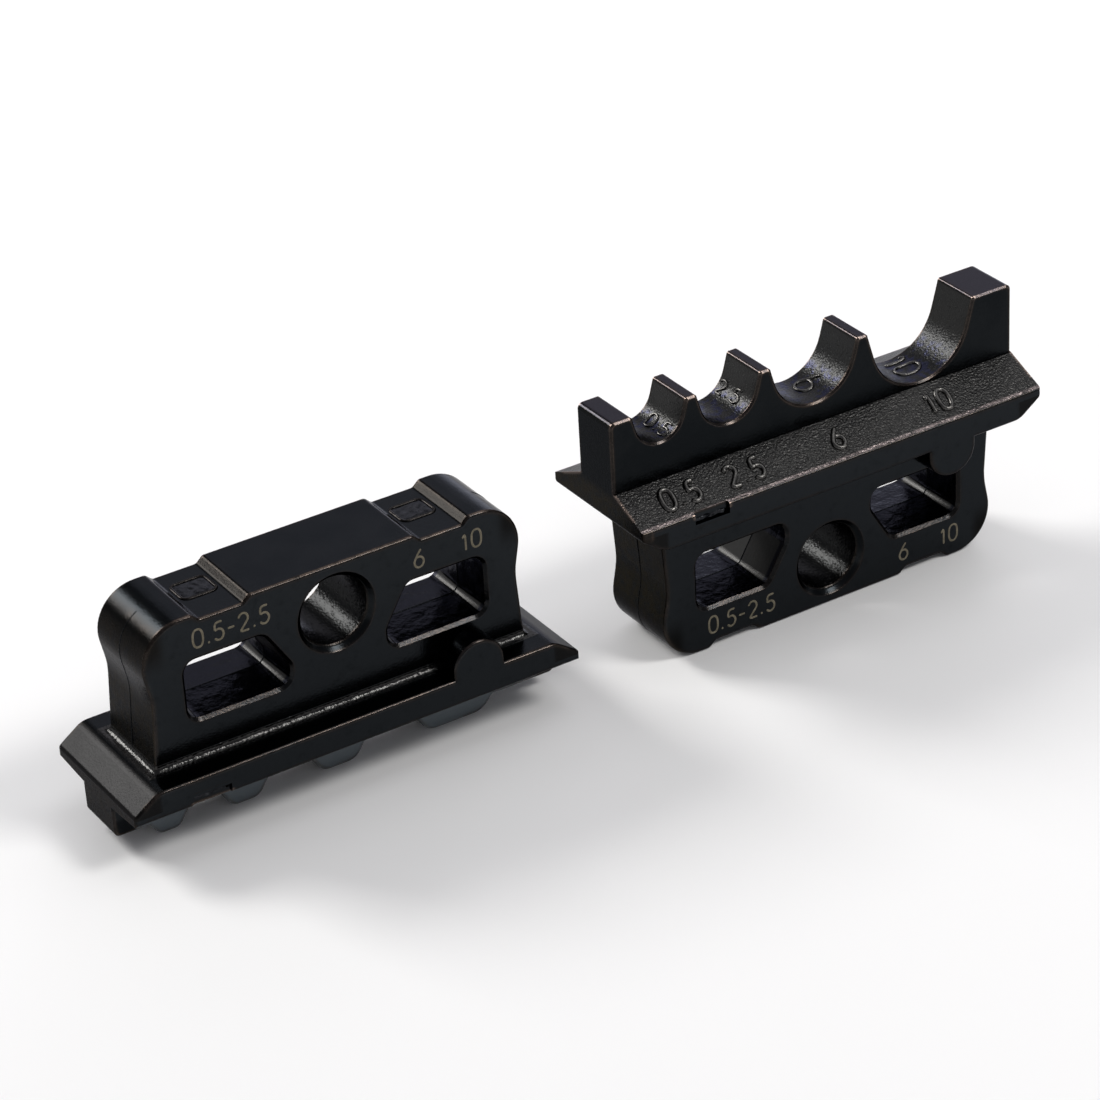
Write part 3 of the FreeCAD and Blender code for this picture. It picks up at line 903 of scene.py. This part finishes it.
@dataclass(frozen=True)
class Lettering:
    """A line of plain characters of one height, slant and spacing."""

    height: float
    width: float
    gap: float
    pen: Pen
    slant: float = 0.0

    def write(self, shell: Shell, bed: Bed, text: str, start: float, foot: float) -> None:
        """Write a text on a bed.

        Args:
            shell: takes in the strokes.
            bed: the surface that carries them.
            text: the characters.
            start: across, where the text begins.
            foot: up, where the characters stand.
        """
        place = start
        for character in text:
            narrow = {".": 0.35, "1": 0.7, "-": 0.8}.get(character, 1.0)
            wide = self.width * narrow
            for stroke in GLYPHS[character]:
                path = stroke.points * np.array([wide, self.height])
                path[:, 0] += place + path[:, 1] * math.tan(math.radians(self.slant))
                path[:, 1] += foot
                self.pen.draw(shell, bed, path, stroke.closed)
            place += wide + self.gap


def rounded_path(corners: Sequence[Sequence[float]], step: float = 0.15) -> np.ndarray:
    """A path through corners with a radius each.

    Each corner is replaced by the arc that touches both of its runs, from the touching point
    radius divided by the tangent of half the angle before the corner to the one after it.

    Args:
        corners: (x, height, radius) of each corner; a radius of 0 keeps it sharp.
        step: the spacing of points on an arc.

    Returns:
        The points, one in each row.
    """
    spots = np.array([corner[:2] for corner in corners])
    chunks = []
    for i, (_, _, radius) in enumerate(corners):
        if radius <= 0.0:
            chunks.append(spots[i][None, :])
            continue
        back = spots[i - 1] - spots[i]
        ahead = spots[(i + 1) % len(spots)] - spots[i]
        back, ahead = back / np.linalg.norm(back), ahead / np.linalg.norm(ahead)
        half = 0.5 * math.acos(float(np.clip(back @ ahead, -1.0, 1.0)))
        middle = (back + ahead) / np.linalg.norm(back + ahead)
        centre = spots[i] + middle * radius / math.sin(half)
        first = spots[i] + back * radius / math.tan(half) - centre
        last = spots[i] + ahead * radius / math.tan(half) - centre
        starts = math.atan2(first[1], first[0])
        turn = math.remainder(math.atan2(last[1], last[0]) - starts, 2.0 * math.pi)
        count = max(3, int(abs(turn) * radius / step) + 2)
        ends = math.degrees(starts), math.degrees(starts + turn)
        chunks.append(arc(centre, (radius, radius), *ends, count))
    return np.concatenate(chunks)


@dataclass(frozen=True)
class Block:
    """Sizes of the block that both dies share, in the die's millimetres."""

    front: float = -3.5
    relief_floor: float = 0.5
    relief_middle: float = 8.75
    window_corners: tuple[tuple[float, float, float], ...] = (
        (5.9255, 3.7755, 0.7), (4.1755, 6.65, 0.7), (4.1755, 7.9245, 0.7245),
        (11.7245, 7.9245, 0.7245), (11.7245, 3.7755, 0.7245))
    end_corners: tuple[tuple[float, float, float], ...] = (
        (12.0, 0.0, 0.0), (15.72, 0.0, 3.2), (14.58, 5.75, 6.0), (14.95, 10.6, 0.0))
    end_seam_start: float = 0.4
    seam_half: float = 0.06
    seam_crest_half: float = 0.02
    seam_sunk: float = 0.06
    window_seam_proud: float = 0.04
    end_seam_proud: float = 0.025
    lower_laser_foot: float = 1.25
    upper_laser_foot: float = 2.6
    gate_middle: tuple[float, float, float] = (-12.0, -5.6, 12.70)
    gate_size: Span = (2.7, 0.28)
    gate_bumps: float = 0.16
    field_bumps: float = 0.05
    field_margin: float = 0.35
    field_corner: float = 0.5
    mark_size: Span = (2.7, 2.3)
    mark_middle: float = 0.5

    def seam(self, shell: Shell, path: np.ndarray, closed: bool, inward: float, proud: float) -> None:
        """Raise the parting line of the mould in the middle plane.

        The profile is a low ridge, twice seam_half wide across the plane and flat on its crest.

        Args:
            shell: takes in the ridge.
            path: points (x, height) of the wall in the middle plane.
            closed: whether the wall closes on itself.
            inward: 1 or -1, the side of the path that is open air.
            proud: how high the ridge stands off the wall.
        """
        if closed:
            run = np.roll(path, -1, axis=0) - np.roll(path, 1, axis=0)
        else:
            run = np.gradient(path, axis=0)
        run = run / np.linalg.norm(run, axis=1, keepdims=True)
        out = np.stack([-run[:, 1], run[:, 0]], axis=1) * inward
        half, crest, sunk = self.seam_half, self.seam_crest_half, -self.seam_sunk
        beside = np.array([half, crest, -crest, -half, -half, half])
        lift = np.array([0.0, proud, proud, 0.0, sunk, sunk])
        across = path[:, None, 0] + out[:, None, 0] * lift
        height = path[:, None, 1] + out[:, None, 1] * lift
        shell.add_rings(np.stack([across, beside + np.zeros_like(across), height], axis=-1), closed)


@dataclass
class Die:
    """One die: the carried solid with its finish, and the marks that both dies carry."""

    stand: Stand
    block: Block = field(default_factory=Block)
    laser: Lettering = Lettering(1.4, 0.78, 0.27, Pen(0.17, 0.012, 0.03))
    laser_texts: tuple[tuple[str, float], ...] = (("0.5-2.5", -11.1), ("6", 6.4), ("10", 10.3))

    def dress(self) -> None:
        """Give the solid from the frame its finish."""
        name = self.stand.side.value
        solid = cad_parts[name]
        solid.material_slots[0].material = BlackOxide(name + "_oxide", self.stand).build()
        LOG.info("dressed %s", name)

    def add_laser_marks(self, material: bpy.types.Material) -> None:
        """Write the plain size numbers on the front face of the block.

        Args:
            material: the pale finish of the marks.
        """
        rise = self.stand.rise
        foot = self.block.lower_laser_foot if rise > 0 else self.block.upper_laser_foot
        bed = Bed.plane((0.0, self.block.front, foot),
                        (1.0, 0.0, 0.0), (0.0, 0.0, rise), (0.0, -1.0, 0.0))
        for text, start in self.laser_texts:
            shell = Shell()
            self.laser.write(shell, bed, text, start, 0.0)
            label = text.replace(".", "_").replace("-", "_to_")
            shell.build(self.stand.side.value + "_front_size_" + label, self.stand, material)

    def add_relief_marks(self, rim: bpy.types.Material, fill: bpy.types.Material) -> None:
        """Raise the two framed fields in the reliefs of the back face.

        Args:
            rim: the finish of the frames.
            fill: the rough finish inside them.
        """
        block = self.block
        wide, deep = block.mark_size
        pen = Pen(0.26, 0.10)
        for hand, side in (("left", -1.0), ("right", 1.0)):
            middle = side * block.relief_middle
            bed = Bed.plane((middle, block.mark_middle, block.relief_floor),
                            (1.0, 0.0, 0.0), (0.0, 1.0, 0.0), (0.0, 0.0, -1.0))
            signs = ((-0.5, -0.5), (0.5, -0.5), (0.5, 0.5), (-0.5, 0.5))
            corners = [(i * wide, j * deep, block.field_corner) for i, j in signs]
            frame_shell = Shell()
            pen.draw(frame_shell, bed, rounded_path(corners), True)
            frame_shell.build("_".join((self.stand.side.value, hand, "field_rim")), self.stand, rim)
            size = (wide - block.field_margin, deep - block.field_margin)
            name = "_".join((self.stand.side.value, hand, "field"))
            self.add_rough_patch(name, bed, size, block.field_bumps, 7 + int(side), fill)

    def add_rough_patch(self, name: str, bed: Bed, size: Sequence[float], bumps: float, seed: int,
                        material: bpy.types.Material) -> None:
        """Lay a patch of rough cast metal on a bed.

        Its height is the sum of six sine waves of random direction, wavelength and phase, kept
        above zero and eased to nothing at the rim.

        Args:
            name: the name of the piece.
            bed: the surface that carries it.
            size: its two sides.
            bumps: the height of the roughest bumps.
            seed: the seed of the waves.
            material: its finish.
        """
        draw = np.random.default_rng(seed)
        rows, columns = 22, 26
        across, up = np.meshgrid(np.linspace(-0.5, 0.5, columns) * size[0],
                                 np.linspace(-0.5, 0.5, rows) * size[1])
        turn = draw.uniform(0, 6.28, 6)
        wave = draw.uniform(4.0, 13.0, 6)
        phase = draw.uniform(0, 6.28, 6)
        heading = across[..., None] * np.cos(turn) + up[..., None] * np.sin(turn)
        rough = np.sin(heading * wave + phase).sum(axis=-1) / 3.0
        ease = np.minimum(1.0 - np.abs(2.0 * across / size[0]), 1.0 - np.abs(2.0 * up / size[1]))
        proud = 0.012 + bumps * np.clip(0.5 + 0.5 * rough, 0.0, 1.0) * np.clip(ease * 5.0, 0.0, 1.0)
        shell = Shell()
        shell.add_slab(bed.shape(across, up, proud), bed.shape(across, up, np.full_like(across, -0.05)))
        shell.build(name, self.stand, material)

    def add_gate_vestige(self, material: bpy.types.Material) -> None:
        """Leave the torn stripe of the mould's gate in its recess.

        Args:
            material: its rough finish.
        """
        block = self.block
        bed = Bed.plane(block.gate_middle, (1.0, 0.0, 0.0), (0.0, 0.0, 1.0), (0.0, -1.0, 0.0))
        name = self.stand.side.value + "_gate_vestige"
        self.add_rough_patch(name, bed, block.gate_size, block.gate_bumps, 3, material)

    def add_seams(self, material: bpy.types.Material) -> None:
        """Raise the parting line in both windows and on both ends of the block.

        Args:
            material: the finish of the ridges.
        """
        for hand, side in (("left", -1.0), ("right", 1.0)):
            mirror = np.array([side, 1.0])
            window = Shell()
            path = rounded_path(self.block.window_corners) * mirror
            self.block.seam(window, path, True, -side, self.block.window_seam_proud)
            window.build("_".join((self.stand.side.value, hand, "window_seam")), self.stand, material)
            end = Shell()
            path = rounded_path(self.block.end_corners)
            path = path[path[:, 1] > self.block.end_seam_start] * mirror
            self.block.seam(end, path, False, -side, self.block.end_seam_proud)
            end.build("_".join((self.stand.side.value, hand, "end_seam")), self.stand, material)


@dataclass
class LowerDie(Die):
    """The die with the four nests, which has raised size numerals on its ledge and in its nests."""

    numerals: Lettering = Lettering(1.85, 0.98, 0.42, Pen(0.42, 0.22), 8.0)
    ledge_low: Span = (-5.9, 13.2)
    ledge_high: Span = (-2.2, 14.85)
    ledge_margin: float = 1.15
    ledge_texts: tuple[tuple[str, float], ...] = (
        ("0.5", -15.2), ("2.5", -9.6), ("6", -0.2), ("10", 8.55))
    nests: tuple[tuple[str, float, float, float], ...] = (
        ("0.5", -13.8, 17.75, 2.05), ("2.5", -7.75, 17.3, 2.5), ("6", -0.15, 16.45, 3.65),
        ("10", 9.55, 15.05, 4.4))

    def ledge(self) -> Bed:
        """Find the front ledge, which climbs from the edge of the flange to the foot of the comb.

        Returns:
            The ledge as a flat bed, with up along the slope.
        """
        low, high = np.array(self.ledge_low), np.array(self.ledge_high)
        slope = (high - low) / np.linalg.norm(high - low)
        return Bed.plane((0.0, low[0], low[1]), (1.0, 0.0, 0.0), (0.0, slope[0], slope[1]),
                         (0.0, -slope[1], slope[0]))

    def add_ledge_numerals(self, material: bpy.types.Material) -> None:
        """Raise the four plain sizes on the front ledge.

        Args:
            material: the cast finish of the numerals.
        """
        bed = self.ledge()
        for text, start in self.ledge_texts:
            shell = Shell()
            self.numerals.write(shell, bed, text, start, self.ledge_margin)
            name = "lower_die_ledge_size_" + text.replace(".", "_")
            shell.build(name, self.stand, material)

    def add_nest_numerals(self, material: bpy.types.Material) -> None:
        """Raise the plain size in each nest, read from the right-hand end.

        Args:
            material: the cast finish of the numerals.
        """
        places = {"0.5": (1.15, 0.5, 0.85, -0.9), "2.5": (1.1, 1.5, 0.9, -1.9),
                  "6": (2.2, 0.1, 1.5, -1.1), "10": (2.1, -0.75, 1.35, -1.85)}
        for text, place, floor, radius in self.nests:
            tall, foot, wide, start = places[text]
            bed = Bed.nest(place, floor + radius, radius)
            shell = Shell()
            pen = Pen(0.16 + 0.05 * tall, 0.12)
            Lettering(tall, wide, 0.3, pen).write(shell, bed, text, start, foot)
            shell.build("lower_die_nest_size_" + text.replace(".", "_"), self.stand, material)


@dataclass
class UpperDie(Die):
    """The die with the four lobes, standing on them."""


@dataclass(frozen=True)
class SoftBox:
    """A square lamp that shines on the dies from a direction, with a given brightness."""

    name: str
    direction: tuple[float, float, float]
    spread: Span
    brightness: float
    colour: Colour = (1.0, 1.0, 1.0)
    distance: float = 0.6
    aim: tuple[float, float, float] = (0.0, 0.0, 0.009)

    def build(self) -> bpy.types.Object:
        """Make the lamp.

        Returns:
            The lamp, whose power is brightness times pi times area.
        """
        data = bpy.data.lights.new(self.name, "AREA")
        data.shape = "RECTANGLE"
        data.size, data.size_y = (self.distance * angle for angle in self.spread)
        data.energy = self.brightness * math.pi * data.size * data.size_y
        data.color = self.colour
        lamp = bpy.data.objects.new(self.name, data)
        away = Vector(self.direction).normalized()
        lamp.location = Vector(self.aim) + away * self.distance
        lamp.rotation_euler = away.to_track_quat("Z", "Y").to_euler()
        lamp.visible_camera = False
        bpy.context.collection.objects.link(lamp)
        LOG.info("lamp %s", self.name)
        return lamp


@dataclass
class Studio:
    """The pale floor, the soft lamps, the surroundings and the camera."""

    floor_half: float = 3.0
    floor_drop: float = 0.00002
    floor_colour: Colour = (0.86, 0.86, 0.86)
    horizon_rise: Span = (0.13, 0.22)
    sky: Colour = (0.29, 0.29, 0.31)
    horizon: Colour = (1.0, 1.0, 1.0)
    lamps: tuple[SoftBox, ...] = (
        SoftBox("softbox_back", (-0.38, 0.743, 0.55), (0.34, 0.34), 19.0, (1.0, 0.985, 0.96)),
        SoftBox("softbox_front", (0.44, -0.475, 0.72), (0.28, 0.28), 18.0, (1.0, 0.985, 0.96)),
        SoftBox("softbox_top", (0.444, 0.141, 0.885), (0.7, 0.7), 1.1),
        SoftBox("softbox_far", (0.444, 0.743, 0.5), (0.6, 0.4), 1.2, (0.97, 0.94, 1.0)),
        SoftBox("softbox_low", (0.65, 0.743, 0.15), (0.4, 0.3), 2.5, (0.85, 0.88, 1.0)),
    )
    camera_place: tuple[float, float, float] = (-0.12673, -0.20972, 0.15136)
    camera_rows: tuple[tuple[float, float, float], ...] = (
        (0.8410971, -0.5383119, -0.0526873),
        (-0.3083821, -0.3972400, -0.8643500),
        (0.4443604, 0.7432501, -0.5001232))
    lens: float = 127.76

    def add_floor(self) -> None:
        """Lay the floor, a plain pale sheet."""
        grid = np.linspace(-self.floor_half, self.floor_half, 3)
        across, along = np.meshgrid(grid, grid)
        points = np.stack([across, along, np.full_like(across, -self.floor_drop)], axis=-1)
        points = points.reshape(-1, 3)
        number = np.arange(9).reshape(3, 3)
        faces = np.stack([number[:-1, :-1], number[:-1, 1:], number[1:, 1:], number[1:, :-1]], axis=-1)
        mesh = bpy.data.meshes.new("floor")
        mesh.from_pydata(points.tolist(), [], faces.reshape(-1, 4).tolist())
        graph = Graph.of_material("pale_floor")
        mesh.materials.append(graph.surface({
            "Base Color": (*self.floor_colour, 1.0), "Roughness": 0.9, "Specular IOR Level": 0.1}))
        floor = bpy.data.objects.new("floor", mesh)
        bpy.context.collection.objects.link(floor)

    def add_surroundings(self) -> None:
        """Fill the air with an even grey light over a low white band that joins the floor.

        The blend follows the height of the direction that a ray comes from.
        """
        world = bpy.data.worlds.new("studio_air")
        bpy.context.scene.world = world
        graph = Graph(world)
        heading = Wire(graph, graph.add("ShaderNodeTexCoord").outputs["Generated"])
        low, high = self.horizon_rise
        sockets = {"Value": graph.split(heading)[2], "From Min": low, "From Max": high}
        fade = Wire(graph, graph.add("ShaderNodeMapRange", None, sockets).outputs[0])
        colour = graph.mix(fade, self.horizon, self.sky)
        air = graph.add("ShaderNodeBackground", None, {"Color": colour})
        graph.add("ShaderNodeOutputWorld", None, {"Surface": Wire(graph, air.outputs[0])})

    def add_camera(self) -> None:
        """Set the camera at the photograph's place and angle."""
        data = bpy.data.cameras.new("camera")
        data.lens = self.lens
        data.sensor_width = 36.0
        data.clip_start = 0.01
        data.clip_end = 20.0
        camera = bpy.data.objects.new("camera", data)
        right, down, ahead = (np.array(row) for row in self.camera_rows)
        axes = Matrix(np.stack([right, -down, -ahead], axis=1).tolist()).to_4x4()
        camera.matrix_world = Matrix.Translation(self.camera_place) @ axes
        bpy.context.collection.objects.link(camera)
        bpy.context.scene.camera = camera

    def build(self) -> None:
        """Make everything round the dies."""
        self.add_floor()
        self.add_surroundings()
        for lamp in self.lamps:
            lamp.build()
        self.add_camera()


def main() -> None:
    """Dress both dies, add their marks, and set the studio round them."""
    logging.basicConfig(level=logging.INFO, format="%(name)s: %(message)s")
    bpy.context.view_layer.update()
    bpy.context.scene.view_settings.view_transform = "Standard"
    Studio().build()
    cast, pale, torn = CAST_NUMERAL.build(), LASER_MARK.build(), TORN_GATE.build()
    rim, seam = FIELD_RIM.build(), PARTING_SEAM.build()
    lower, upper = LowerDie(LOWER), UpperDie(UPPER)
    for die in (lower, upper):
        die.dress()
        die.add_laser_marks(pale)
        die.add_relief_marks(rim, torn)
        die.add_gate_vestige(torn)
        die.add_seams(seam)
    lower.add_ledge_numerals(cast)
    lower.add_nest_numerals(cast)


if __name__ == "__main__":
    main()
